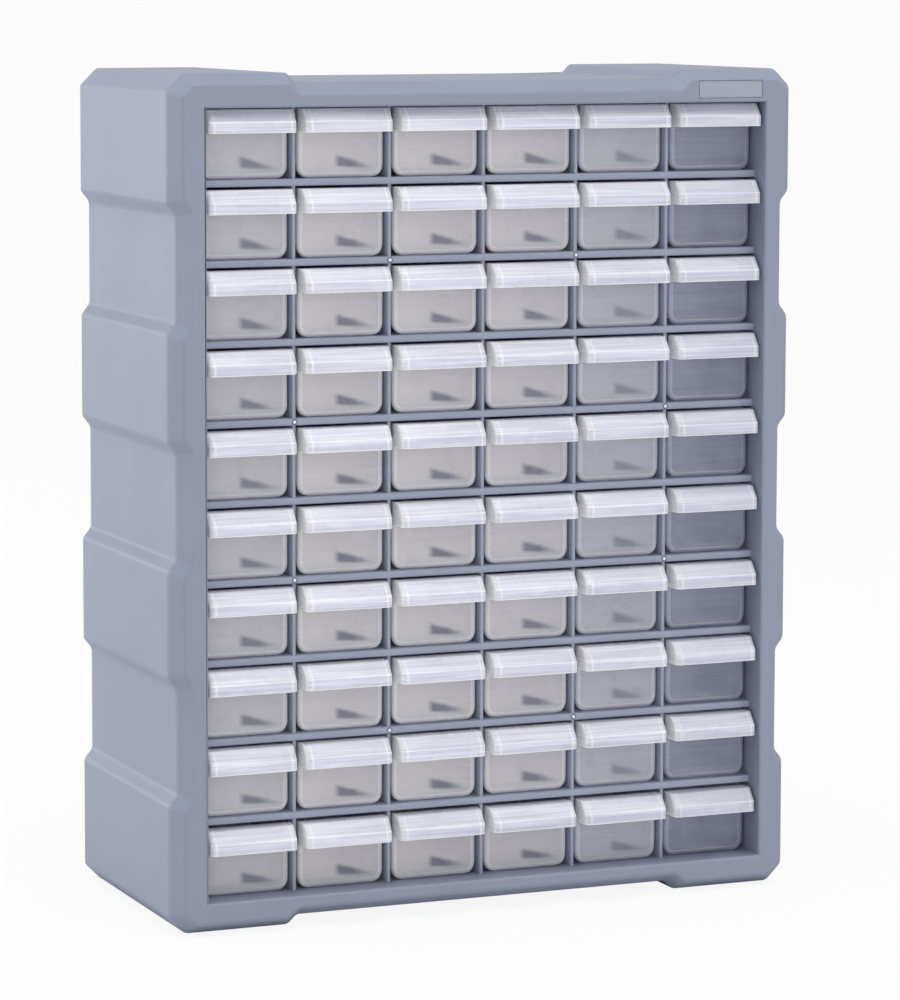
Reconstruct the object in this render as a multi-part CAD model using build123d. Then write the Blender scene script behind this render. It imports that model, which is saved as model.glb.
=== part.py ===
"""Parts bin cabinet: a moulded casing with a 6 x 10 lattice of cells and 60 sliding drawers.

Millimetres. +X right, +Y to the back, +Z up. The origin is the centre of the footprint, on the floor.
"""
from build123d import *
import os

os.makedirs("parts", exist_ok=True)

# ---- overall size ----
WIDTH = 380.0            # over the corner blocks
DEPTH = 160.0
HEIGHT = 475.0
FRONT_Y = -DEPTH / 2
BACK_Y = DEPTH / 2

# ---- casing outline ----
SIDE_RECESS = 4.9        # depth of the narrow zones down each side
TOP_RECESS = 5.2         # depth of the middle of the top and of the underside
CORNER_CUT = 9.8         # 45 degree cut of the outer corners
STEP_PITCH = 65.2        # between two steps down a side
STEP_COUNT = 6
STEP_RUN = 6.0           # height of one sloped step
STEP_MID = HEIGHT / 2 + 0.9
BLOCK_WIDTH = 70.3       # corner blocks on the top and the underside
BLOCK_OUTER_X = WIDTH / 2 - BLOCK_WIDTH
BLOCK_INNER_X = BLOCK_OUTER_X - TOP_RECESS       # foot of their 45 degree slope
BEVEL_SIDE = 6.3         # bevel round the front: across the face
BEVEL_DEPTH = 11.3       # and back along the sides
SKIN = 2.2               # outer wall; the space inside it is open to the back
SLEEVE = 1.8             # inner wall round the cells

# ---- front opening and recessed plate ----
FRAME_SIDE = 20.0        # from the side of the casing to the opening
OPENING_HALF = WIDTH / 2 - FRAME_SIDE
OPENING_BOTTOM = 18.2    # also the floor of the lowest row
CEILING_DROP = 16.2      # from the top of the casing to the ceiling of the top row
CEILING = HEIGHT - CEILING_DROP
HEADER_DROP = 2.6        # the frame's top bar hangs this far below the ceiling
OPENING_TOP = CEILING - HEADER_DROP
OPENING_CHAMFER = 1.0
PLATE_WIDTH = 40.6
PLATE_INSET = 22.4       # from the right side of the casing
PLATE_LEFT = WIDTH / 2 - PLATE_INSET - PLATE_WIDTH
PLATE_HEIGHT = 10.2
PLATE_DROP = 6.3         # from the top of the casing
PLATE_BOTTOM = HEIGHT - PLATE_DROP - PLATE_HEIGHT
PLATE_SINK = 0.8

# ---- lattice ----
COLUMNS = 6
ROWS = 10
OUTER_CELL_TRIM = 1.0    # the outer cells lack this much of a pitch, beside the casing
COLUMN_PITCH = 2 * (OPENING_HALF + OUTER_CELL_TRIM) / COLUMNS
SHELF_THICK = 2.0
LOWEST_EXTRA = 0.6       # the lowest row is this much taller than the others
ROW_PITCH = (CEILING + SHELF_THICK - OPENING_BOTTOM - LOWEST_EXTRA) / ROWS
SHELF_1_TOP = CEILING + SHELF_THICK - ROW_PITCH  # floor of the top row
BAND_HEIGHT = 4.0        # front edge of a shelf, which stops the tall rear wall of the drawer below
BAND_THICK = 2.4
DIVIDER_THICK = 2.2
LATTICE_FRONT = FRONT_Y + 14.0
DIVIDER_SETBACK = 0.8    # the dividers end just behind the face of the bands
REAR_INSET = 20.5        # from the rear edge of the casing to the back panel
LATTICE_BACK = BACK_Y - REAR_INSET
HEADER_BACK = LATTICE_FRONT + DIVIDER_SETBACK    # back of the frame's top bar, against the dividers
LAP_Y = (LATTICE_FRONT + LATTICE_BACK) / 2
LAP_PLAY = 0.1           # play each side of a plate in its slot
PANEL_THICK = 2.5
PANEL_BACK = LATTICE_BACK + PANEL_THICK

# ---- drawer ----
DRAWER_SIDE_PLAY = 1.6   # to the divider on each side
DRAWER_WIDTH = COLUMN_PITCH - DIVIDER_THICK - 2 * DRAWER_SIDE_PLAY
DRAWER_WALL = 1.5
DRAWER_FLOOR = 1.6
DRAWER_FRONT = FRONT_Y + 17.0    # outer face of the front wall
DRAWER_REAR_PLAY = 0.5
DRAWER_BACK = LATTICE_BACK - DRAWER_REAR_PLAY
BAND_PLAY = 1.4          # from the rim to the band above
REAR_TOP_PLAY = 0.8      # from the tall rear wall to the shelf above
DRAWER_HEIGHT = ROW_PITCH - BAND_HEIGHT - BAND_PLAY
DRAWER_REAR_HEIGHT = ROW_PITCH - SHELF_THICK - REAR_TOP_PLAY
DRAWER_CORNER = 7.0      # rounding of the two lower edges
DRAWER_INNER_CUT = 3.4   # the same edges inside
PARTITION_Y = DRAWER_FRONT + 56.0
PARTITION_THICK = 1.5
PARTITION_DROP = 8.8     # its top edge below the rim
PARTITION_TOP = DRAWER_HEIGHT - PARTITION_DROP
PARTITION_PLAY = 0.15    # to the side walls
LIP_FACE = FRONT_Y + 1.5         # front face of the pull lip
LIP_TOP_RUN = 5.0        # flat strip on top, before the slope
LIP_SLOPE_DROP = 6.9     # from the rim to the crease where the slope meets the front face
LIP_CREASE = DRAWER_HEIGHT - LIP_SLOPE_DROP
LIP_DROP = 13.1          # from the rim to the lip's lower edge
LIP_BOTTOM = DRAWER_HEIGHT - LIP_DROP
LIP_WALL = 1.6
LIP_CORNER = 2.2


def shelf_top(level):
    """Height of the upper face of shelf 1 (top) to 9."""
    return SHELF_1_TOP - (level - 1) * ROW_PITCH


def row_floor(row):
    """Height on which the drawers of a row stand; row 1 is the top one."""
    return shelf_top(row) if row < ROWS else OPENING_BOTTOM


def column_x(column):
    """Centre of a column of cells, numbered 1 to 6 from the left."""
    return (column - (COLUMNS + 1) / 2) * COLUMN_PITCH


def divider_x(index):
    """Centre of divider 1 to 5 from the left."""
    return (index - COLUMNS / 2) * COLUMN_PITCH


def casing_outline():
    """Outline of the casing seen from the front: corner blocks, stepped sides, recessed middles."""
    half = WIDTH / 2
    right = [
        (BLOCK_INNER_X, TOP_RECESS),
        (BLOCK_OUTER_X, 0),
        (half - CORNER_CUT, 0),
        (half, CORNER_CUT),
    ]
    wide = True
    for i in range(STEP_COUNT):
        z = STEP_MID + (i - (STEP_COUNT - 1) / 2) * STEP_PITCH
        before = half if wide else half - SIDE_RECESS
        after = half - SIDE_RECESS if wide else half
        right += [(before, z - STEP_RUN / 2), (after, z + STEP_RUN / 2)]
        wide = not wide
    right += [
        (half, HEIGHT - CORNER_CUT),
        (half - CORNER_CUT, HEIGHT),
        (BLOCK_OUTER_X, HEIGHT),
        (BLOCK_INNER_X, HEIGHT - TOP_RECESS),
    ]
    left = [(-x, z) for x, z in reversed(right)]
    return make_face(Polyline(*right, *left, close=True).edges())


def block(x0, x1, y0, y1, z0, z1):
    """Box between two corners."""
    return Pos(x0, y0, z0) * Box(x1 - x0, y1 - y0, z1 - z0, align=(Align.MIN, Align.MIN, Align.MIN))


def bevelled_prism(outline, front_y):
    """The outline run back to the rear, bevelled round its front end."""
    face = offset(outline, amount=-BEVEL_SIDE, kind=Kind.INTERSECTION)
    start = Plane.XZ.offset(-front_y)
    shoulder = Plane.XZ.offset(-(FRONT_Y + BEVEL_DEPTH))
    bevel = loft([start * face, shoulder * outline], ruled=True)
    return bevel + extrude(shoulder * outline, amount=-(DEPTH - BEVEL_DEPTH))


def casing():
    """Front frame, stepped outer skin and inner sleeve, one moulding."""
    outline = casing_outline()
    body = bevelled_prism(outline, FRONT_Y)
    hollow = bevelled_prism(offset(outline, amount=-SKIN, kind=Kind.INTERSECTION), FRONT_Y + SKIN)
    sleeve_half = OPENING_HALF + SLEEVE
    hollow -= block(-sleeve_half, sleeve_half, FRONT_Y, PANEL_BACK,
                    OPENING_BOTTOM - SLEEVE, CEILING + SLEEVE)
    body -= hollow
    body -= block(-OPENING_HALF, OPENING_HALF, FRONT_Y, BACK_Y, OPENING_BOTTOM, OPENING_TOP)
    body -= block(-OPENING_HALF, OPENING_HALF, HEADER_BACK, BACK_Y, OPENING_BOTTOM, CEILING)
    rim = [
        e for e in body.edges().filter_by_position(Axis.Y, FRONT_Y - 0.01, FRONT_Y + 0.01)
        if abs(e.center().X) <= OPENING_HALF + 0.01
        and OPENING_BOTTOM - 0.01 <= e.center().Z <= OPENING_TOP + 0.01
    ]
    body = chamfer(rim, OPENING_CHAMFER)
    plate = block(PLATE_LEFT, PLATE_LEFT + PLATE_WIDTH, FRONT_Y, FRONT_Y + PLATE_SINK,
                  PLATE_BOTTOM, PLATE_BOTTOM + PLATE_HEIGHT)
    return body - plate


def back_panel():
    """Flat panel behind the lattice, set into the casing."""
    return block(-OPENING_HALF, OPENING_HALF, LATTICE_BACK, PANEL_BACK, OPENING_BOTTOM, CEILING)


def shelf(level):
    """Shelf with its deeper front band, slotted from the back for the dividers."""
    top = shelf_top(level)
    plate = block(-OPENING_HALF, OPENING_HALF, LATTICE_FRONT, LATTICE_BACK, top - SHELF_THICK, top)
    plate += block(-OPENING_HALF, OPENING_HALF, LATTICE_FRONT, LATTICE_FRONT + BAND_THICK,
                   top - BAND_HEIGHT, top)
    reach = DIVIDER_THICK / 2 + LAP_PLAY
    for i in range(1, COLUMNS):
        x = divider_x(i)
        plate -= block(x - reach, x + reach, LAP_Y, LATTICE_BACK, top - SHELF_THICK, top)
    return plate


def divider(index):
    """Upright from floor to ceiling, slotted from the front for the shelves and their bands."""
    x = divider_x(index)
    plate = block(x - DIVIDER_THICK / 2, x + DIVIDER_THICK / 2, LATTICE_FRONT + DIVIDER_SETBACK,
                  LATTICE_BACK, OPENING_BOTTOM, CEILING)
    for level in range(1, ROWS):
        top = shelf_top(level)
        plate -= block(x - DIVIDER_THICK, x + DIVIDER_THICK, LATTICE_FRONT, LAP_Y,
                       top - SHELF_THICK, top)
        plate -= block(x - DIVIDER_THICK, x + DIVIDER_THICK, LATTICE_FRONT,
                       LATTICE_FRONT + BAND_THICK, top - BAND_HEIGHT, top)
    return plate


def cut_corners(width, bottom, height):
    """Inner section of a drawer: a rectangle with its lower corners cut."""
    section = Pos(0, bottom + height / 2) * Rectangle(width, height)
    return chamfer(section.vertices().sort_by(Axis.Y)[:2], DRAWER_INNER_CUT)


def partition():
    """Cross plate that stands in a drawer, between its side walls."""
    width = DRAWER_WIDTH - 2 * (DRAWER_WALL + PARTITION_PLAY)
    section = cut_corners(width, DRAWER_FLOOR, PARTITION_TOP - DRAWER_FLOOR)
    return extrude(Plane.XZ.offset(-(PARTITION_Y - PARTITION_THICK / 2)) * section, amount=-PARTITION_THICK)


def drawer():
    """One drawer with its tall rear wall and hollow pull lip; underside at Z = 0."""
    half = DRAWER_WIDTH / 2
    section = Pos(0, DRAWER_HEIGHT / 2) * Rectangle(DRAWER_WIDTH, DRAWER_HEIGHT)
    section = fillet(section.vertices().sort_by(Axis.Y)[:2], DRAWER_CORNER)
    inner_height = DRAWER_HEIGHT - DRAWER_FLOOR
    hollow = cut_corners(DRAWER_WIDTH - 2 * DRAWER_WALL, DRAWER_FLOOR, inner_height)
    front = Plane.XZ.offset(-DRAWER_FRONT)
    length = DRAWER_BACK - DRAWER_FRONT
    body = extrude(front * section, amount=-length)
    cavity_at = Plane.XZ.offset(-(DRAWER_FRONT + DRAWER_WALL))
    cavity = extrude(cavity_at * hollow, amount=-(length - 2 * DRAWER_WALL))
    body -= cavity
    body += block(-half, half, DRAWER_BACK - DRAWER_WALL, DRAWER_BACK, DRAWER_HEIGHT, DRAWER_REAR_HEIGHT)

    side = Plane.YZ.offset(-half)
    lip_profile = make_face(Polyline(
        (DRAWER_FRONT, DRAWER_HEIGHT),
        (DRAWER_FRONT - LIP_TOP_RUN, DRAWER_HEIGHT),
        (LIP_FACE, LIP_CREASE),
        (LIP_FACE, LIP_BOTTOM),
        (DRAWER_FRONT, LIP_BOTTOM),
        close=True,
    ).edges())
    lip = extrude(side * lip_profile, amount=DRAWER_WIDTH)
    corners = [
        e for e in lip.edges().filter_by(Axis.Z)
        if abs(e.center().Y - LIP_FACE) < 0.01
    ]
    lip = chamfer(corners, LIP_CORNER)
    slope = (DRAWER_HEIGHT - LIP_CREASE) / (DRAWER_FRONT - LIP_TOP_RUN - LIP_FACE)
    inner_front = LIP_FACE + LIP_WALL
    inner_top = DRAWER_HEIGHT - LIP_WALL
    inner_crease = LIP_CREASE - LIP_WALL * 0.4
    finger = make_face(Polyline(
        (DRAWER_FRONT, inner_top),
        (inner_front + (inner_top - inner_crease) / slope, inner_top),
        (inner_front, inner_crease),
        (inner_front, LIP_BOTTOM),
        (DRAWER_FRONT, LIP_BOTTOM),
        close=True,
    ).edges())
    inner_side = Plane.YZ.offset(-half + DRAWER_WALL)
    lip -= extrude(inner_side * finger, amount=DRAWER_WIDTH - 2 * DRAWER_WALL)
    return body + lip


def filled_cell(row, column):
    """The drawer and its partition in their cell."""
    at = Pos(column_x(column), 0, row_floor(row))
    return [at * drawer_shape, at * partition_shape]


export_step(casing(), "parts/casing.step")
export_step(back_panel(), "parts/back_panel.step")
plates = [shelf(level) for level in range(1, ROWS)]
plates += [divider(index) for index in range(1, COLUMNS)]
export_step(Compound(plates), "parts/lattice.step")

drawer_shape = drawer()
partition_shape = partition()
for row in range(1, ROWS):
    for column in range(1, COLUMNS + 1):
        cell = Compound(filled_cell(row, column))
        export_step(cell, f"parts/drawer_r{row:02d}_c{column}.step")
for column in range(1, COLUMNS, 2):
    pair = Compound(filled_cell(ROWS, column) + filled_cell(ROWS, column + 1))
    export_step(pair, f"parts/drawers_r{ROWS}_c{column}{column + 1}.step")
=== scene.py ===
"""Parts bin cabinet in a plain studio: slate casing, lattice of cells and sixty frosted drawers.

Metres in the file, millimetres in the tables of sizes. +X right, +Y to the back, +Z up.
"""
import math

import bmesh
import bpy
from mathutils import Matrix, Vector


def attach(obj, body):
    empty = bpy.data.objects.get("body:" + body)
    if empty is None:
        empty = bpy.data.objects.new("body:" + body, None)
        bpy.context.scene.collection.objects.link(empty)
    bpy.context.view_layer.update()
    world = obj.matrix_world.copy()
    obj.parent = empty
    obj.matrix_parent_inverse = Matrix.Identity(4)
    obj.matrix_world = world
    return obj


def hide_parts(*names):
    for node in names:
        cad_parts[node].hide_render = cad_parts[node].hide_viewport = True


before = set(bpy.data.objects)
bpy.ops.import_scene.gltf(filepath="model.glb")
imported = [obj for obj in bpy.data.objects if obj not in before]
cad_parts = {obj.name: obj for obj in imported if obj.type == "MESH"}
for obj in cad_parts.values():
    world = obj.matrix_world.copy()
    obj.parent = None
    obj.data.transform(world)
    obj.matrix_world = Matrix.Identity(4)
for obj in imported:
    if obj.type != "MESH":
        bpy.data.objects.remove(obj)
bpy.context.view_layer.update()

MM = 0.001

# ---- sizes in millimetres, as in the model but for the lip's top run ----
COLUMNS = 6
ROWS = 10
COLUMN_PITCH = 57.0
ROW_PITCH = 44.2
SHELF_1_TOP = 416.6
OPENING_HALF = 170.0
OPENING_BOTTOM = 18.2
CEILING = 458.8
LATTICE_FRONT = -66.0
LATTICE_BACK = 59.5
BAND_HEIGHT = 4.0
BAND_THICK = 2.4
BAND_ROUND = 0.7
SHELF_THICK = 2.0
DIVIDER_THICK = 2.2
PLATE_PLAY = 0.02        # between the lattice's plates and the walls round them
GATES = ((2, 2), (2, 4), (4, 1), (4, 5), (6, 1), (6, 5), (8, 2), (8, 4))    # shelf and divider numbers

DRAWER_HALF = 25.8
DRAWER_FRONT = -63.0
DRAWER_BACK = 59.0
DRAWER_TOP = 38.8
REAR_TOP = 41.4
REAR_STEP = 2.4          # the side walls start to rise this far ahead of the rear face
REAR_STEP_RUN = 0.9
WALL = 1.5
FLOOR = 1.6
CORNER_ROUND = 7.0       # lower side edges of a drawer
END_ROUND = 2.0
INNER_CORNER_ROUND = 5.5
INNER_END_ROUND = 0.9
RIM_ROUND = 0.35
PARTITION_Y = -7.0
PARTITION_HALF = 0.75
PARTITION_TOP = 30.0
LIP_FACE = -78.5
LIP_TOP_RUN = 9.0        # flat top ahead of the front wall; it is 5.0 in the model
LIP_CREASE = 31.9
LIP_BOTTOM = 25.7
LIP_WALL = 1.6
LIP_ROOT = 0.6           # how far the lip reaches into the front wall
LIP_ROUND = 2.6
LIP_INNER_ROUND = 1.4
LIP_REACH = 14.0         # depth of lip from which its corners have their full rounding

PLATE_LEFT = 127.0       # recess for a bare plate in the frame
PLATE_WIDTH = 40.6
PLATE_BOTTOM = 458.5
PLATE_HEIGHT = 10.2
PLATE_FLOOR = -79.2

CASING_ROUND = 2.0       # widest rounding of the casing's edges
CASING_ROUND_STEPS = 3
INNER_SHARE = 0.2        # share of that rounding away from the outer skin
SKIN_SIDE = 180.0        # the outer skin lies beyond this, below the next and above the third
SKIN_LOW = 11.6
SKIN_HIGH = 463.0
SKIN_REAR = 78.0         # its rear rim lies behind this
PLATE_ZONE = (119.0, 176.0)    # sideways, round the plate's recess
PLATE_ZONE_LOW = 454.5
PLATE_ZONE_DEEP = -60.0

# levels of the points in a drawer's walls, and stations along them
OUTER_LEVELS = (0.0, 0.15, 0.6, 1.3, 2.2, 3.4, 5.0, 7.0, 20.0)
INNER_LEVELS = (20.0, 7.1, 5.4, 4.0, 2.9, 2.2, 1.8, FLOOR)
WALL_STATIONS = (-30.0, 10.0, 40.0)
REAR_STATION = 4.5

# degrees up to which faces become one, from which an edge is rounded, and from which it looks sharp
NEARLY_FLAT = 0.4
ROUNDED_FROM = 20
SHARP_FROM = 32
SHARP_FROM_CASING = 38
SHARP_FROM_DRAWER = 40
SHARP_FROM_GATE = 60

# ---- looks ----
PLASTIC_IOR = 1.49
DUSK = (0.1, 0.0, 0.0, 0.05, 0.35, 1.0)    # how little light enters the drawers of each column; painted as shade into their colour and milk
WEDGE_X = -1.8           # where the painted shadow wedge in a drawer's front starts
WEDGE_TOP, WEDGE_TOP_FALL = 12.6, 0.29
WEDGE_BOTTOM, WEDGE_BOTTOM_FALL = 6.3, 0.09
LIP_HIGHLIGHT_AT = 22.4          # painted highlight: light upright line near each end of the lip

# ---- studio, in metres ----
SKY_STRENGTH = 0.68
LAMPS = (                # name, place, target, size, power
    ("left_bank", (-2.4, 2.2, 0.8), (0.0, 0.0, 0.2), (2.2, 1.8), 44.0),
    ("front_bank", (0.6, -3.2, 0.4), (0.0, 0.0, 0.12), (2.6, 0.8), 14.0),
    ("top_bank", (-0.3, -0.7, 2.7), (0.0, 0.0, 0.25), (2.2, 1.8), 36.0),
)
SWEEP_HALF = 7.0
SWEEP_ROUND = 1.4
SWEEP_FLAT_END = 2.2
CAMERA_PLACE = (-907.37, -2133.08, 524.44)    # millimetres
CAMERA_TURNS = (21.79, 5.65, 0.01)            # yaw, pitch and roll in degrees
SENSOR = 36.0
LONG_SIDE = 1000         # pixels
FOCAL_PIXELS = 4025.57
MIDDLE_PIXEL = (450.0, 500.0)
AXIS_PIXEL = (350.0, 380.0)                   # where the viewing direction meets the picture


def row_floor(row):
    """Height on which the drawers of a row stand; row 1 is the top one."""
    return SHELF_1_TOP - (row - 1) * ROW_PITCH if row < ROWS else OPENING_BOTTOM


def column_x(column):
    return (column - (COLUMNS + 1) / 2) * COLUMN_PITCH


# ---- shader expressions ----

class Value:
    """A socket that takes part in Python arithmetic; each operation adds a Math node."""

    def __init__(self, tree, socket):
        self.tree = tree
        self.socket = socket

    def _math(self, operation, *values):
        node = self.tree.nodes.new("ShaderNodeMath")
        node.operation = operation
        for slot, value in zip(node.inputs, values):
            if isinstance(value, Value):
                self.tree.links.new(value.socket, slot)
            else:
                slot.default_value = value
        return Value(self.tree, node.outputs[0])

    def __add__(self, other):
        return self._math("ADD", self, other)

    __radd__ = __add__

    def __sub__(self, other):
        return self._math("SUBTRACT", self, other)

    def __rsub__(self, other):
        return self._math("SUBTRACT", other, self)

    def __mul__(self, other):
        return self._math("MULTIPLY", self, other)

    def size(self):
        return self._math("ABSOLUTE", self)

    def root(self):
        return self._math("SQRT", self)

    def above(self, level):
        return self._math("MAXIMUM", self, level)

    def rise(self, low, high):
        """0 below one level, 1 above the other."""
        return ((self - low) * (1.0 / (high - low))).clipped()

    def clipped(self):
        return self._math("MINIMUM", self._math("MAXIMUM", self, 0.0), 1.0)


class Finish:
    """A material under construction, with one method for every node that isn't arithmetic."""

    def __init__(self, name):
        self.material = bpy.data.materials.new(name)
        self.material.use_nodes = True
        self.tree = self.material.node_tree
        self.tree.nodes.clear()

    def node(self, kind, settings=None, out=0, **inputs):
        """Adds a node; settings are its own properties, inputs are values or links by socket name."""
        made = self.tree.nodes.new(kind)
        for key, value in (settings or {}).items():
            setattr(made, key, value)
        for key, value in inputs.items():
            label = key.replace("_", " ")
            socket = [s for s in made.inputs if s.name == label and s.enabled][0]
            if isinstance(value, Value):
                self.tree.links.new(value.socket, socket)
            else:
                socket.default_value = value
        if isinstance(out, str):
            return Value(self.tree, made.outputs[out])
        return Value(self.tree, [s for s in made.outputs if s.enabled][out])

    def place(self):
        return self.node("ShaderNodeTexCoord", out="Object")

    def stretched(self, scale):
        return self.node("ShaderNodeMapping", Vector=self.place(), Scale=scale)

    def attribute(self, name, out):
        return self.node("ShaderNodeAttribute", {"attribute_name": name}, out=out)

    def noise(self, scale, detail=3.0, roughness=0.5, vector=None):
        return self.node("ShaderNodeTexNoise", Vector=vector or self.place(), Scale=scale,
                         Detail=detail, Roughness=roughness, out="Fac")

    def ramp(self, value, black, white):
        """0 up to one level, 1 from the other."""
        made = self.node("ShaderNodeValToRGB", Fac=value, out="Color")
        for element, place, level in zip(made.socket.node.color_ramp.elements, (black, white), (0.0, 1.0)):
            element.position = place
            element.color = (level, level, level, 1.0)
        return made

    def tint(self, factor, dark, light):
        """A colour between two, by a factor."""
        made = self.tree.nodes.new("ShaderNodeMix")
        made.data_type = "RGBA"
        self.tree.links.new(factor.socket, made.inputs["Factor"])
        for name, colour in (("A", dark), ("B", light)):
            socket = [s for s in made.inputs if s.name == name and s.type == "RGBA"][0]
            if isinstance(colour, Value):
                self.tree.links.new(colour.socket, socket)
            else:
                socket.default_value = (*colour, 1.0)
        return Value(self.tree, [s for s in made.outputs if s.type == "RGBA"][0])

    def parts(self, vector):
        """The three components of a vector."""
        made = self.tree.nodes.new("ShaderNodeSeparateXYZ")
        self.tree.links.new(vector.socket, made.inputs[0])
        return [Value(self.tree, socket) for socket in made.outputs]

    def blend(self, factor, first, second):
        """Two shaders mixed."""
        made = self.tree.nodes.new("ShaderNodeMixShader")
        for socket, value in zip(made.inputs, (factor, first, second)):
            self.tree.links.new(value.socket, socket)
        return Value(self.tree, made.outputs[0])

    def finished(self, shader):
        output = self.tree.nodes.new("ShaderNodeOutputMaterial")
        self.tree.links.new(shader.socket, output.inputs["Surface"])
        return self.material


def srgb(*levels):
    """Linear colour from 0-255 display levels."""
    return tuple((v / 255 / 12.92) if v <= 10 else ((v / 255 + 0.055) / 1.055) ** 2.4 for v in levels)


# ---- finishes ----

def slate_moulding(name, dark, light, grain=1.0, rub=0.5):
    """Blue-grey moulded polypropylene: spark-eroded grain, slow mottling, faint handling rubs."""
    f = Finish(name)
    fine = f.noise(1500.0, 2.0, 0.6)
    cells = f.node("ShaderNodeTexVoronoi", Vector=f.place(), Scale=1300.0, out="Distance")
    mottle = f.noise(14.0, 4.0, 0.6)
    flow = f.noise(9.0, 3.0, 0.55, f.stretched((1.0, 1.0, 0.25)))
    scuffs = f.ramp(f.noise(60.0, 6.0, 0.75, f.stretched((0.3, 1.0, 2.2))), 0.60, 0.74)
    dust = f.ramp(f.noise(420.0, 2.0, 0.5), 0.66, 0.74)
    shade = (mottle * 0.5 + flow * 0.5 - 0.5) * 2.4 + 0.5
    rubbed = tuple(min(1.0, c * 1.7) for c in light)
    colour = f.tint(shade.clipped(), dark, light)
    colour = f.tint(scuffs * rub * 0.16 + dust * 0.05, colour, rubbed)
    bump = f.node("ShaderNodeBump", Height=fine * 0.6 + cells * 0.7 + mottle * 0.3,
                  Strength=0.22 * grain, Distance=0.00022)
    rough = 0.47 + (mottle - 0.5) * 0.12 + scuffs * 0.10 + (fine - 0.5) * 0.06
    return f.finished(f.node("ShaderNodeBsdfPrincipled", Base_Color=colour, Roughness=rough,
                             Normal=bump, IOR=PLASTIC_IOR))


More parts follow.
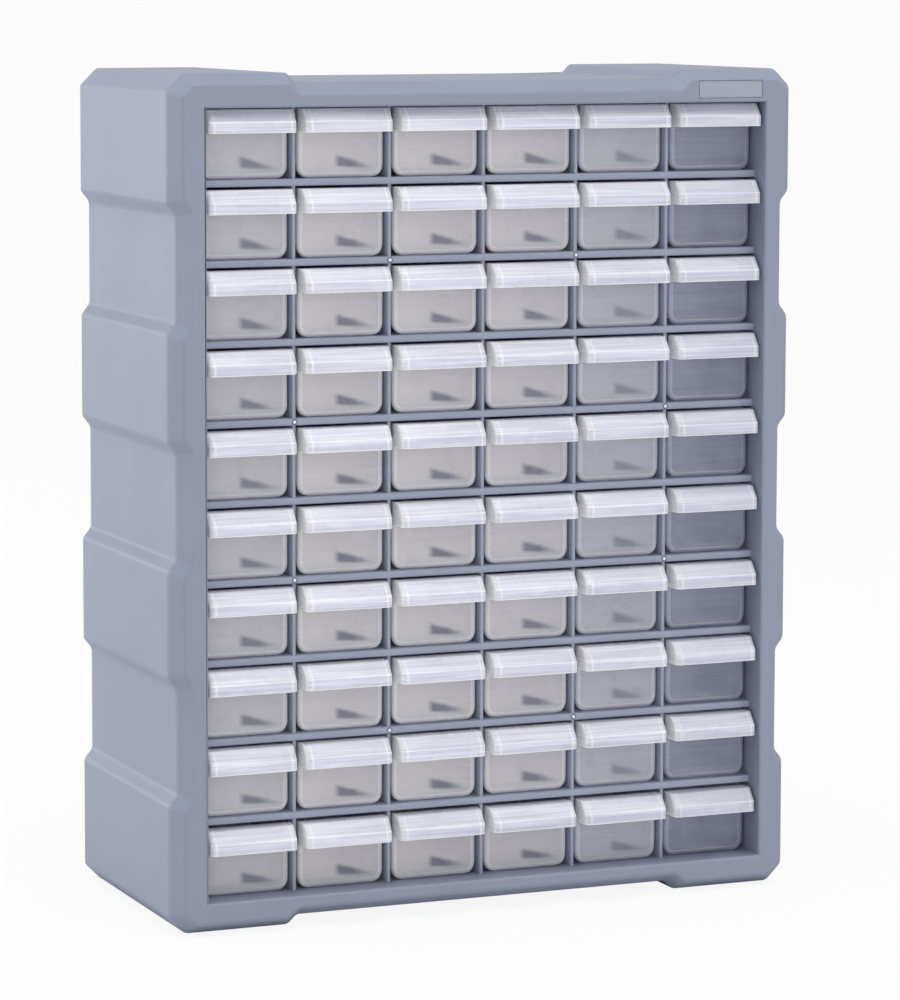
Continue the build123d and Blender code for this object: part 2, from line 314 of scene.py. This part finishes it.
def frosted_moulding(name, dark, light):
    """Translucent polypropylene: milky walls that let what lies behind them show as shadow.

    The piece's "local" attribute is the place on a drawer in millimetres, so that each wall has its own
    thickness of milk: the lip most, and the lower corners ahead of the partition almost none. Its "dusk"
    attribute is 1 where the casing's wall beside the column keeps light out of the drawer, and the colour
    and milk paint that in as shade. The colour also holds painted highlights on the lip and round the
    front, a painted shadow wedge in the front and a painted lighter slope on the lip.
    """
    f = Finish(name)
    cloud = f.noise(30.0, 4.0, 0.6)
    streaks = f.noise(70.0, 3.0, 0.6, f.stretched((0.16, 1.0, 4.0)))
    brushed = f.noise(240.0, 3.0, 0.6, f.stretched((0.06, 1.0, 3.4)))
    fine = f.noise(1100.0, 2.0, 0.6)
    scuffs = f.ramp(f.noise(90.0, 6.0, 0.8, f.stretched((0.35, 1.0, 2.4))), 0.60, 0.74)
    x, y, z = f.parts(f.attribute("local", "Vector"))
    dusk = f.attribute("dusk", "Fac")
    side = x.size()

    # which part of the drawer: lip, outer side of the front wall, or the rest
    inward = y.rise(DRAWER_FRONT - 0.9, DRAWER_FRONT - 0.2)
    lip = 1.0 - inward
    front = inward * (1.0 - y.rise(DRAWER_FRONT + 1.6, DRAWER_FRONT + 2.4))
    inside = inward - front

    # border of the front, which follows its rounded lower corners
    over = (side - (DRAWER_HALF - CORNER_ROUND)).above(0.0)
    under = (CORNER_ROUND - z).above(0.0)
    inset = CORNER_ROUND - (over * over + under * under).root()
    border = front * (1.0 - inset.rise(2.6, 3.1))
    # painted highlight: bright line along the inner edge of the front's border
    border_highlight = front * (1.0 - ((inset - 2.9) * 2.2).size()).clipped()

    # lines and faces of the lip; its lines carry painted highlights and its slope painted light
    crease = lip * (1.0 - ((z - LIP_CREASE) * 2.0).size()).clipped()
    edge = lip * (1.0 - z.rise(LIP_BOTTOM + 0.3, LIP_BOTTOM + 0.8))
    end = lip * side.rise(DRAWER_HALF - 1.1, DRAWER_HALF - 0.6)
    slope = lip * z.rise(LIP_CREASE + 0.2, LIP_CREASE + 1.0)
    upright_highlight = lip * (1.0 - ((side - LIP_HIGHLIGHT_AT) * 1.1).size()).clipped()

    # clearer lower corners ahead of the partition
    ahead = inside * (1.0 - y.rise(PARTITION_Y - 3.0, PARTITION_Y - 1.2))
    low = (1.0 - z.rise(6.5, 9.0)) * side.rise(10.0, 15.0)

    # painted shadow: dark wedge in the front's right half, between two falling lines, for the shade at the
    # partition's foot seen through the front
    top_line = z + (x - WEDGE_X) * WEDGE_TOP_FALL - WEDGE_TOP + (cloud - 0.5) * 2.0
    bottom_line = z + (x - WEDGE_X) * WEDGE_BOTTOM_FALL - WEDGE_BOTTOM
    painted_shadow_wedge = front * x.rise(-4.2, -0.6) * (1.0 - x.rise(8.0, 22.0) * 0.9)
    painted_shadow_wedge = painted_shadow_wedge * (1.0 - top_line.rise(-1.6, 0.8)) * bottom_line.rise(-1.0, 1.0)

    lines = (streaks * 0.5 + brushed * 0.5 - 0.5) * (0.5 + lip * 1.6)
    veil = 0.82 + lip * 0.06 - front * 0.20 + border * 0.14 - ahead * low * 0.78
    # painted shade: in a column's dusk the front and lip are thinner milk, so the slate behind shows darker
    veil = veil - front * dusk * 0.36 - lip * dusk * 0.12 + crease * 0.1 + edge * 0.1
    veil = veil + (cloud - 0.5) * 0.10 + lines * 0.30 + scuffs * 0.05
    shade = ((cloud * 0.3 - 0.15) * 2.0 + lines * 1.8 + 0.5).clipped()
    # painted highlights: white lines on the lip's crease, lower edge and ends, near its ends, and round the
    # front's border
    painted_highlights = (crease * 0.8 + edge + end + upright_highlight * 0.9 + border_highlight * 0.8).clipped()
    colour = f.tint(shade, dark, light)
    for share, levels in (
            # painted light: fronts of the lit columns whiter
            (front * (1.0 - dusk), (242, 238, 242)),
            # painted shade: each front greyer towards its right side
            (front * x.rise(-14.0, 24.0) * 0.16, (150, 155, 172)),
            # painted shade: fronts of the dark column bluish
            (front * dusk * 0.5, (176, 187, 222)),
            # painted shadow: the wedge darkens the fronts of the lit columns
            (painted_shadow_wedge * (1.0 - dusk) * 0.76, (96, 104, 130)),
            # light strip along the foot of the front: partly the thicker floor's real milk, partly a painted
            # highlight
            (front * (1.0 - z.rise(4.8, 6.4)) * 0.34, (228, 229, 241)),
            # painted light: the lip's upward slope lighter, as light from above falls on it
            (slope * 0.25, (250, 251, 255)),
            # painted highlights
            (painted_highlights, (254, 254, 255))):
        colour = f.tint(share, colour, srgb(*levels))
    bump = f.node("ShaderNodeBump", Height=fine * 0.4 + streaks * 0.9 + brushed * 0.5,
                  Strength=0.16, Distance=0.0003)
    return f.finished(f.node(
        "ShaderNodeBsdfPrincipled", Base_Color=colour, Normal=bump, IOR=PLASTIC_IOR,
        Subsurface_Weight=0.45, Subsurface_Scale=0.005, Subsurface_Radius=(1.0, 0.99, 0.97),
        Roughness=0.28 + (cloud - 0.5) * 0.14 + scuffs * 0.14, Alpha=veil.clipped()))


def gloss(name, dark, light, rough):
    """Smooth moulded spot or plate with a faint cloud in it."""
    f = Finish(name)
    cloud = f.noise(900.0, 2.0)
    slow = f.noise(60.0, 4.0, 0.6)
    colour = f.tint((cloud * 0.4 + slow * 0.6).clipped(), dark, light)
    return f.finished(f.node("ShaderNodeBsdfPrincipled", Base_Color=colour, IOR=PLASTIC_IOR,
                             Roughness=rough + cloud * 0.1 + slow * 0.06))


SLATE = slate_moulding("slate_casing", srgb(132, 138, 158), srgb(142, 148, 168))
# painted light: the lattice's slate is a lighter copy of the casing's, for the light the frosted lips pass
# onto the recessed bands
SLATE_INSIDE = slate_moulding("slate_lattice", srgb(150, 156, 175), srgb(160, 166, 185), 0.7, 0.3)
SLATE_BACK = slate_moulding("slate_back", srgb(126, 132, 151), srgb(137, 143, 162), 0.9, 0.6)
FROSTED = frosted_moulding("frosted_drawer", srgb(208, 210, 229), srgb(235, 236, 251))
GATE_RIM = gloss("gate_rim", srgb(84, 89, 106), srgb(100, 105, 122), 0.4)
# painted highlight: the near-white colour of the gate nubs paints the glint seen on each gate
GATE_NUB = gloss("gate_nub", srgb(226, 229, 238), srgb(246, 247, 251), 0.12)
PLATE = gloss("bare_plate", srgb(144, 149, 166), srgb(158, 162, 179), 0.22)


# ---- meshes ----

def is_sharp(edge, degrees):
    return len(edge.link_faces) == 2 and edge.calc_face_angle(0.0) > math.radians(degrees)


def smooth_up_to(bm, degrees):
    """Smooth shading but for the edges sharper than an angle."""
    for edge in bm.edges:
        edge.smooth = not is_sharp(edge, degrees)
    for face in bm.faces:
        face.smooth = True


def finished_mesh(name, bm, degrees):
    """Mesh in metres from one in millimetres."""
    bmesh.ops.recalc_face_normals(bm, faces=bm.faces)
    bm.transform(Matrix.Scale(MM, 4))
    smooth_up_to(bm, degrees)
    mesh = bpy.data.meshes.new(name)
    bm.to_mesh(mesh)
    bm.free()
    return mesh


def own(name, mesh, body, material):
    """Object at the origin for a finished mesh, riding on its body."""
    if material.name not in mesh.materials:
        mesh.materials.append(material)
    piece = bpy.data.objects.new(name, mesh)
    bpy.context.scene.collection.objects.link(piece)
    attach(piece, body)
    return piece


def skin(bm, rings, closed):
    """Quads between rings that have the same number of points."""
    rows = [[bm.verts.new(p) for p in ring] for ring in rings]
    for below, above in zip(rows, rows[1:]):
        count = len(below)
        for i in range(count if closed else count - 1):
            j = (i + 1) % count
            bm.faces.new((below[i], below[j], above[j], above[i]))
    return rows


def capped(bm, rings):
    """Closed skin with a face on its first and last ring."""
    rows = skin(bm, rings, True)
    bm.faces.new(list(reversed(rows[0])))
    bm.faces.new(rows[-1])


def arc_drop(radius, depth):
    """How far a rounding of that radius has pulled back at a depth below its tangent line."""
    if depth >= radius:
        return 0.0
    return radius - math.sqrt(radius * radius - (radius - depth) ** 2)


def evaluated_mesh(holder):
    """What an object's modifiers make of it, as a plain mesh."""
    return bpy.data.meshes.new_from_object(holder.evaluated_get(bpy.context.evaluated_depsgraph_get()))


# ---- casing and back panel ----

def edge_softness(edge):
    """Share of the full rounding: all of it on the outer skin, little round the opening and the plate."""
    x, y, z = (c / MM for c in (edge.verts[0].co + edge.verts[1].co) / 2)
    outer = abs(x) > SKIN_SIDE or z < SKIN_LOW or z > SKIN_HIGH
    by_plate = PLATE_ZONE[0] < abs(x) < PLATE_ZONE[1] and z > PLATE_ZONE_LOW and y < PLATE_ZONE_DEEP
    return 1.0 if outer and y <= SKIN_REAR and not by_plate else INNER_SHARE


def softened(source, name, width, segments):
    """Copy of a CAD node with its points merged and its edges rounded."""
    mesh = source.data.copy()
    bm = bmesh.new()
    bm.from_mesh(mesh)
    bmesh.ops.remove_doubles(bm, verts=bm.verts, dist=1e-6)
    bmesh.ops.dissolve_limit(bm, angle_limit=math.radians(NEARLY_FLAT), verts=bm.verts, edges=bm.edges,
                             delimit={"NORMAL"})
    weight = bm.edges.layers.float.new("bevel_weight_edge")
    for edge in bm.edges:
        edge[weight] = edge_softness(edge) if is_sharp(edge, ROUNDED_FROM) else 0.0
    bm.to_mesh(mesh)
    bm.free()
    mesh.materials.clear()
    carrier = bpy.data.objects.new(name + "_blank", mesh)
    bpy.context.scene.collection.objects.link(carrier)
    bevel = carrier.modifiers.new("edges", "BEVEL")
    bevel.width = width * MM
    bevel.segments = segments
    bevel.limit_method = "WEIGHT"
    bevel.use_clamp_overlap = True
    bevel.miter_outer = "MITER_ARC"
    rounded = evaluated_mesh(carrier)
    bpy.data.objects.remove(carrier)
    bm = bmesh.new()
    bm.from_mesh(rounded)
    smooth_up_to(bm, SHARP_FROM_CASING)
    bm.to_mesh(rounded)
    bm.free()
    rounded.name = name
    return rounded


casing_mesh = softened(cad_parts["casing"], "casing_shell", CASING_ROUND, CASING_ROUND_STEPS)
casing = own("casing_shell", casing_mesh, "cabinet", SLATE)
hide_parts("casing")
weighted = casing.modifiers.new("flat faces stay flat", "WEIGHTED_NORMAL")
weighted.keep_sharp = True

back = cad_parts["back_panel"]
back.data.materials.clear()
back.data.materials.append(SLATE_BACK)


# ---- lattice: shelves, dividers and gate marks set out by a node tree ----

class Layout:
    """A geometry node tree under construction."""

    def __init__(self, name, **sizes):
        self.tree = bpy.data.node_groups.new(name, "GeometryNodeTree")
        face = self.tree.interface
        self.identifiers = {}
        for label, (kind, value) in sizes.items():
            socket = face.new_socket(label, in_out="INPUT", socket_type="NodeSocket" + kind)
            self.identifiers[label] = (socket.identifier, value)
        face.new_socket("Geometry", in_out="OUTPUT", socket_type="NodeSocketGeometry")
        self.entry = self.tree.nodes.new("NodeGroupInput")
        self.exit = self.tree.nodes.new("NodeGroupOutput")

    def size(self, label):
        return self.entry.outputs[label]

    def add(self, kind, settings=None, out=0, **inputs):
        node = self.tree.nodes.new(kind)
        for key, value in (settings or {}).items():
            setattr(node, key, value)
        for key, value in inputs.items():
            socket = [s for s in node.inputs if s.name == key.replace("_", " ") and s.enabled][0]
            for one in value if isinstance(value, list) else [value]:
                if isinstance(one, bpy.types.NodeSocket):
                    self.tree.links.new(one, socket)
                else:
                    socket.default_value = one
        return [s for s in node.outputs if s.enabled][out]

    def shape(self, source):
        """An object's geometry, from the object or from a socket that gives it."""
        return self.add("GeometryNodeObjectInfo", out=-1, Object=source)

    def row(self, count, start, step, shape):
        """Copies of a shape along a line."""
        line = self.add("GeometryNodeMeshLine", {"mode": "OFFSET"},
                        Count=count, Start_Location=start, Offset=step)
        return self.add("GeometryNodeInstanceOnPoints", Points=line, Instance=shape)

    def finish(self, parts, material):
        joined = self.add("GeometryNodeJoinGeometry", Geometry=parts)
        real = self.add("GeometryNodeRealizeInstances", Geometry=joined)
        painted = self.add("GeometryNodeSetMaterial", Geometry=real, Material=material)
        self.tree.links.new(painted, self.exit.inputs[0])

    def mesh(self, name):
        """The tree's result as a plain mesh."""
        holder = bpy.data.objects.new(name + "_blank", bpy.data.meshes.new(name + "_blank"))
        bpy.context.scene.collection.objects.link(holder)
        modifier = holder.modifiers.new("layout", "NODES")
        modifier.node_group = self.tree
        for identifier, value in self.identifiers.values():
            modifier[identifier] = value
        made = evaluated_mesh(holder)
        holder.modifiers.remove(modifier)
        bpy.data.objects.remove(holder)
        made.name = name
        return made


def blank(name, bm, degrees=SHARP_FROM):
    """Unlinked pattern object, in metres, for a node tree to repeat."""
    return bpy.data.objects.new(name, finished_mesh(name, bm, degrees))


def bar(name, ends):
    """Pattern that runs straight between two outlines."""
    bm = bmesh.new()
    rows = skin(bm, ends, True)
    bm.faces.new(rows[0])
    bm.faces.new(list(reversed(rows[1])))
    return blank(name, bm)


def quarter_round(cy, cz, start):
    """Rounding of the band about a centre, from a start angle in degrees, clockwise."""
    angles = [math.radians(start - a) for a in (0, 30, 60, 90)]
    return [(cy + BAND_ROUND * math.cos(a), cz + BAND_ROUND * math.sin(a)) for a in angles]


def shelf_pattern():
    """Shelf whose front edge turns down into a rounded band; its top is at Z = 0."""
    front, r = LATTICE_FRONT, BAND_ROUND
    inner = front + BAND_THICK
    section = [(LATTICE_BACK, 0.0), (LATTICE_BACK, -SHELF_THICK), (inner + 1.0, -SHELF_THICK),
               (inner + 0.3, -SHELF_THICK - 0.3), (inner, -SHELF_THICK - 1.0)]
    section += quarter_round(inner - r, -BAND_HEIGHT + r, 0)
    section += quarter_round(front + r, -BAND_HEIGHT + r, 270)
    section += quarter_round(front + r, -r, 180)
    half = OPENING_HALF - PLATE_PLAY
    return bar("shelf_pattern", [[(x, y, z) for y, z in section] for x in (-half, half)])


def divider_pattern():
    """Upright plate with a rounded front edge, which ends just behind the bands' face."""
    front = LATTICE_FRONT + 0.8
    half = DIVIDER_THICK / 2
    plan = [(half, LATTICE_BACK), (half, front + 0.8), (half * 0.8, front + 0.25), (half * 0.3, front)]
    plan += [(-x, y) for x, y in reversed(plan)]
    levels = (OPENING_BOTTOM + PLATE_PLAY, CEILING - PLATE_PLAY)
    return bar("divider_pattern", [[(x, y, z) for x, y in plan] for z in levels])


def gate_pattern(name, profile):
    """Turned shape of a moulding gate on a band, from radii and depths, closed in its middle."""
    bm = bmesh.new()
    count = 14
    turns = [2 * math.pi * i / count for i in range(count)]
    rows = skin(bm, [[(r * math.cos(a), y, r * math.sin(a)) for a in turns] for r, y in profile], True)
    bm.faces.new(rows[-1])
    return blank(name, bm, SHARP_FROM_GATE)


def lattice_mesh():
    layout = Layout("lattice_layout", Columns=("Int", COLUMNS - 1), Rows=("Int", ROWS - 1),
                    Column_Pitch=("Float", COLUMN_PITCH * MM), Row_Pitch=("Float", ROW_PITCH * MM),
                    First_Shelf=("Float", SHELF_1_TOP * MM))
    shelf = layout.shape(shelf_pattern())
    divider = layout.shape(divider_pattern())
    drop = layout.add("ShaderNodeMath", {"operation": "MULTIPLY"})
    layout.tree.links.new(layout.size("Row_Pitch"), drop.node.inputs[0])
    drop.node.inputs[1].default_value = -1.0
    down = layout.add("ShaderNodeCombineXYZ", Z=drop)
    top = layout.add("ShaderNodeCombineXYZ", Z=layout.size("First_Shelf"))
    shelves = layout.row(layout.size("Rows"), top, down, shelf)
    across = layout.add("ShaderNodeCombineXYZ", X=layout.size("Column_Pitch"))
    left = layout.add("ShaderNodeVectorMath", {"operation": "SCALE"}, Vector=across)
    left.node.inputs["Scale"].default_value = -(COLUMNS - 2) / 2
    dividers = layout.row(layout.size("Columns"), left, across, divider)
    layout.finish([shelves, dividers], SLATE_INSIDE)
    return layout.mesh("lattice_plates")


def gates_mesh(name, shape, material):
    """The gate shape on each of its spots."""
    spots = bpy.data.meshes.new(name + "_spots")
    spots.from_pydata([((divider - COLUMNS / 2) * COLUMN_PITCH * MM, LATTICE_FRONT * MM,
                        (row_floor(shelf) - BAND_HEIGHT / 2) * MM) for shelf, divider in GATES], [], [])
    holder = bpy.data.objects.new(name + "_spots", spots)
    layout = Layout(name + "_layout", Spots=("Object", holder), Gate=("Object", shape))
    points = layout.shape(layout.size("Spots"))
    gate = layout.shape(layout.size("Gate"))
    set_out = layout.add("GeometryNodeInstanceOnPoints", Points=points, Instance=gate)
    layout.finish([set_out], material)
    return layout.mesh(name)


lattice = own("lattice_plates", lattice_mesh(), "cabinet", SLATE_INSIDE)
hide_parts("lattice")

RIM_PROFILE = ((1.75, 0.05), (1.7, -0.03), (1.5, -0.08), (1.1, -0.05))
NUB_PROFILE = ((1.05, 0.02), (1.0, -0.16), (0.8, -0.30), (0.45, -0.38), (0.15, -0.40))
for name, profile, material in (("gate_rims", RIM_PROFILE, GATE_RIM), ("gate_nubs", NUB_PROFILE, GATE_NUB)):
    shape = gate_pattern(name + "_pattern", profile)
    own(name, gates_mesh(name, shape, material), "cabinet", material)


# ---- bare plate in the frame ----

def plate_ring(inset, y, radius):
    """Rounded rectangle of the plate, seen from the front."""
    x0, x1 = PLATE_LEFT + inset, PLATE_LEFT + PLATE_WIDTH - inset
    z0, z1 = PLATE_BOTTOM + inset, PLATE_BOTTOM + PLATE_HEIGHT - inset
    points = []
    for cx, cz, start in ((x1 - radius, z1 - radius, 0), (x0 + radius, z1 - radius, 90),
                          (x0 + radius, z0 + radius, 180), (x1 - radius, z0 + radius, 270)):
        for a in (math.radians(start + turn) for turn in (0, 30, 60, 90)):
            points.append((cx + radius * math.cos(a), y, cz + radius * math.sin(a)))
    return points


def plate_bm():
    """Raised border round a slightly sunk, flat middle."""
    bm = bmesh.new()
    rows = skin(bm, [plate_ring(0.3, PLATE_FLOOR + 0.02, 0.6), plate_ring(0.3, PLATE_FLOOR - 0.35, 0.6),
                     plate_ring(0.42, PLATE_FLOOR - 0.47, 0.55), plate_ring(0.8, PLATE_FLOOR - 0.47, 0.45),
                     plate_ring(0.95, PLATE_FLOOR - 0.28, 0.4)], True)
    bm.faces.new(rows[0])
    bm.faces.new(rows[-1])
    return bm


plate_mesh = finished_mesh("bare_plate", plate_bm(), SHARP_FROM)
own("bare_plate", plate_mesh, "cabinet", PLATE)


# ---- drawer ----

def plan_ring(half, front, rear, radius, level):
    """Rounded rectangle seen from above, the same number of points whatever its size."""
    stations = (*WALL_STATIONS, rear - REAR_STATION)
    points = []
    for index, (cx, cy, start) in enumerate((
            (half - radius, front + radius, 270), (half - radius, rear - radius, 0),
            (-half + radius, rear - radius, 90), (-half + radius, front + radius, 180))):
        for a in (math.radians(start + 22.5 * i) for i in range(5)):
            points.append((cx + radius * math.cos(a), cy + radius * math.sin(a)))
        if index == 0:
            points += [(half, y) for y in stations]
        if index == 2:
            points += [(-half, y) for y in reversed(stations)]
    return [(x, y, level(y) if callable(level) else level) for x, y in points]


def rim_height(y):
    """Top of the walls: the rear wall stands taller than the sides."""
    rise = min(1.0, max(0.0, (y - (DRAWER_BACK - REAR_STEP)) / REAR_STEP_RUN))
    return DRAWER_TOP + (REAR_TOP - DRAWER_TOP) * rise


def below_rim(drop):
    return lambda y: rim_height(y) - drop


def drawer_tub(bm):
    """Walls and floor in one closed skin, rounded below and along the rim."""
    rings = []
    for z in OUTER_LEVELS:
        side = arc_drop(CORNER_ROUND, z)
        end = arc_drop(END_ROUND, z)
        rings.append(plan_ring(DRAWER_HALF - side, DRAWER_FRONT + end, DRAWER_BACK - end, 2.0, z))
    half, front, rear = DRAWER_HALF - WALL, DRAWER_FRONT + WALL, DRAWER_BACK - WALL
    for pull, drop, radius in ((0.0, RIM_ROUND, 2.0), (RIM_ROUND * 0.3, RIM_ROUND * 0.3, 1.9),
                               (RIM_ROUND, 0.0, 1.7)):
        rings.append(plan_ring(DRAWER_HALF - pull, DRAWER_FRONT + pull, DRAWER_BACK - pull, radius,
                               below_rim(drop)))
    for push, drop, radius in ((RIM_ROUND, 0.0, 1.0), (RIM_ROUND * 0.3, RIM_ROUND * 0.3, 0.9),
                               (0.0, RIM_ROUND, 0.8)):
        rings.append(plan_ring(half + push, front - push, rear + push, radius, below_rim(drop)))
    for z in INNER_LEVELS:
        side = arc_drop(INNER_CORNER_ROUND, z - FLOOR)
        end = arc_drop(INNER_END_ROUND, z - FLOOR)
        rings.append(plan_ring(half - side, front + end, rear - end, 0.8, z))
    capped(bm, rings)


def partition(bm):
    """Moulded cross wall that follows the round of the floor, with a softened top edge."""
    half = DRAWER_HALF - WALL - 0.15
    outline = [(-half + 0.3, PARTITION_TOP), (-half, PARTITION_TOP - 0.3)]
    for z in INNER_LEVELS[1:]:
        outline.append((-half + arc_drop(INNER_CORNER_ROUND, z - FLOOR), z))
    outline += [(-x, z) for x, z in reversed(outline)]
    capped(bm, [[(x, y, z) for x, z in outline]
                for y in (PARTITION_Y - PARTITION_HALF, PARTITION_Y + PARTITION_HALF)])


def lip_ring(front, half, radius, z, back):
    """Open U seen from above: one side, round the front, the other side."""
    points = [(-half, back), (-half, (back + front + radius) / 2)]
    for a in (math.radians(180 + 18 * i) for i in range(6)):
        points.append((-half + radius + radius * math.cos(a), front + radius + radius * math.sin(a)))
    points += [(-x, y) for x, y in reversed(points)]
    return [(x, y, z) for x, y in points]


def lip_line():
    """Front edge of the lip by height: upright face, soft crease, slope, soft upper edge."""
    end = DRAWER_FRONT - LIP_TOP_RUN
    rise = DRAWER_TOP - LIP_CREASE
    face = [(LIP_FACE + 0.45, LIP_BOTTOM), (LIP_FACE + 0.12, LIP_BOTTOM + 0.15),
            (LIP_FACE, LIP_BOTTOM + 0.5), (LIP_FACE, LIP_CREASE - 0.7),
            (LIP_FACE + 0.12, LIP_CREASE - 0.1), (LIP_FACE + 0.55, LIP_CREASE + 0.25)]
    face += [(LIP_FACE + (end - LIP_FACE) * part, LIP_CREASE + rise * part) for part in (0.35, 0.7, 0.9)]
    face += [(end - 0.25, DRAWER_TOP - 0.28), (end + 0.3, DRAWER_TOP - 0.05), (end + 1.0, DRAWER_TOP)]
    return face


def pull_lip(bm):
    """Hollow pull lip, open below, with rounded plan corners."""
    back = DRAWER_FRONT + LIP_ROOT
    outer = []
    inner = []
    for y, z in lip_line():
        room = min(1.0, (back - y) / LIP_REACH)
        outer.append(lip_ring(y, DRAWER_HALF, LIP_ROUND * room + 0.3, z, back))
        front = LIP_FACE + LIP_WALL if z < LIP_CREASE else min(y + LIP_WALL, back - 0.5)
        room = min(1.0, (back - front) / LIP_REACH)
        inner.append(lip_ring(front, DRAWER_HALF - WALL, max(0.5, LIP_INNER_ROUND * room),
                              min(z, DRAWER_TOP - LIP_WALL), back))
    outer.append([(x * 0.96, min(y + 1.6, back), z) for x, y, z in outer[-1]])
    rows_out = skin(bm, outer, False)
    rows_in = skin(bm, inner, False)
    for rows in (rows_out, rows_in):
        bm.faces.new(rows[-1])
    first, second = rows_out[0], rows_in[0]
    for i in range(len(first) - 1):
        bm.faces.new((first[i], first[i + 1], second[i + 1], second[i]))


def drawer_mesh():
    """One drawer in millimetres, with each point's place kept as an attribute."""
    bm = bmesh.new()
    drawer_tub(bm)
    partition(bm)
    pull_lip(bm)
    layer = bm.verts.layers.float_vector.new("local")
    for v in bm.verts:
        v[layer] = v.co
    bmesh.ops.recalc_face_normals(bm, faces=bm.faces)
    mesh = bpy.data.meshes.new("drawer_pattern")
    bm.to_mesh(mesh)
    bm.free()
    return mesh


def placed(pattern, cells):
    """Copies of the drawer pattern in their cells, as one mesh in millimetres."""
    bm = bmesh.new()
    dusk = bm.verts.layers.float.new("dusk")
    for row, column in cells:
        before = len(bm.verts)
        bm.from_mesh(pattern)
        bm.verts.ensure_lookup_table()
        shift = Vector((column_x(column), 0.0, row_floor(row)))
        for v in bm.verts[before:]:
            v.co += shift
            v[dusk] = DUSK[column - 1]
    return bm


drawer_pattern = drawer_mesh()
cells_of = {f"drawer_r{row:02d}_c{column}": [(row, column)]
            for row in range(1, ROWS) for column in range(1, COLUMNS + 1)}
cells_of.update({f"drawers_r{ROWS}_c{column}{column + 1}": [(ROWS, column), (ROWS, column + 1)]
                 for column in range(1, COLUMNS, 2)})
for node, cells in cells_of.items():
    name = "frosted_" + node
    mesh = finished_mesh(name, placed(drawer_pattern, cells), SHARP_FROM_DRAWER)
    piece = own(name, mesh, node, FROSTED)
    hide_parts(node)


# ---- studio ----

def paper():
    """White sweep that shows as white to the camera and keeps the cabinet's soft shadow."""
    f = Finish("studio_paper")
    grain = f.noise(3.0, 3.0)
    body = f.node("ShaderNodeBsdfPrincipled", Roughness=0.9,
                  Base_Color=f.tint(grain, (0.80, 0.80, 0.80), (0.84, 0.84, 0.84)))
    white = f.node("ShaderNodeEmission", Color=(1.0, 1.0, 1.0, 1.0), Strength=1.0)
    seen = f.node("ShaderNodeLightPath", out="Is Camera Ray")
    return f.finished(f.blend(seen * 0.9, body, white))


def floor():
    bm = bmesh.new()
    section = [(-6.0, 0.0), (SWEEP_FLAT_END, 0.0)]
    for a in (math.radians(d) for d in range(10, 91, 10)):
        section.append((SWEEP_FLAT_END + SWEEP_ROUND * math.sin(a), SWEEP_ROUND - SWEEP_ROUND * math.cos(a)))
    section.append((SWEEP_FLAT_END + SWEEP_ROUND, 6.0))
    skin(bm, [[(x, y, z) for y, z in section] for x in (-SWEEP_HALF, SWEEP_HALF)], False)
    for face in bm.faces:
        face.smooth = True
    mesh = bpy.data.meshes.new("studio_sweep")
    bm.to_mesh(mesh)
    bm.free()
    mesh.materials.append(paper())
    sweep = bpy.data.objects.new("studio_sweep", mesh)
    sweep.location.z = -0.0005
    bpy.context.scene.collection.objects.link(sweep)


def lamp(name, place, target, size, power):
    data = bpy.data.lights.new(name, "AREA")
    data.shape = "RECTANGLE"
    data.size, data.size_y = size
    data.energy = power
    body = bpy.data.objects.new(name, data)
    body.location = place
    aim = Vector(target) - Vector(place)
    body.rotation_euler = aim.to_track_quat("-Z", "Y").to_euler()
    bpy.context.scene.collection.objects.link(body)


def sky():
    """Even white light, which the camera sees as plain white."""
    world = bpy.data.worlds.new("studio_air")
    world.use_nodes = True
    tree = world.node_tree
    tree.nodes.clear()
    mix = tree.nodes.new("ShaderNodeMixShader")
    for socket, strength in zip(mix.inputs[1:], (SKY_STRENGTH, 1.0)):
        air = tree.nodes.new("ShaderNodeBackground")
        air.inputs["Color"].default_value = (1.0, 1.0, 1.0, 1.0)
        air.inputs["Strength"].default_value = strength
        tree.links.new(air.outputs[0], socket)
    path = tree.nodes.new("ShaderNodeLightPath")
    tree.links.new(path.outputs["Is Camera Ray"], mix.inputs[0])
    output = tree.nodes.new("ShaderNodeOutputWorld")
    tree.links.new(mix.outputs[0], output.inputs["Surface"])
    bpy.context.scene.world = world


def camera():
    """Camera at the photograph's viewing angle, for a frame of 900 by 1000."""
    data = bpy.data.cameras.new("studio_camera")
    data.sensor_width = SENSOR
    data.lens = FOCAL_PIXELS / LONG_SIDE * SENSOR
    data.shift_x = (MIDDLE_PIXEL[0] - AXIS_PIXEL[0]) / LONG_SIDE
    data.shift_y = (AXIS_PIXEL[1] - MIDDLE_PIXEL[1]) / LONG_SIDE
    data.clip_start = 0.05
    data.clip_end = 60.0
    yaw, pitch, roll = (math.radians(a) for a in CAMERA_TURNS)
    forward = Vector((math.sin(yaw) * math.cos(pitch), math.cos(yaw) * math.cos(pitch), -math.sin(pitch)))
    right = Vector((math.cos(yaw), -math.sin(yaw), 0.0))
    up = right.cross(forward)
    turned_right = right * math.cos(roll) + up * math.sin(roll)
    turned_up = -right * math.sin(roll) + up * math.cos(roll)
    basis = Matrix((turned_right, turned_up, -forward)).transposed()
    body = bpy.data.objects.new("studio_camera", data)
    body.matrix_world = Matrix.Translation(Vector(CAMERA_PLACE) * MM) @ basis.to_4x4()
    bpy.context.scene.collection.objects.link(body)
    bpy.context.scene.camera = body


floor()
sky()
for settings in LAMPS:
    lamp(*settings)
camera()

bpy.context.scene.view_settings.view_transform = "Standard"
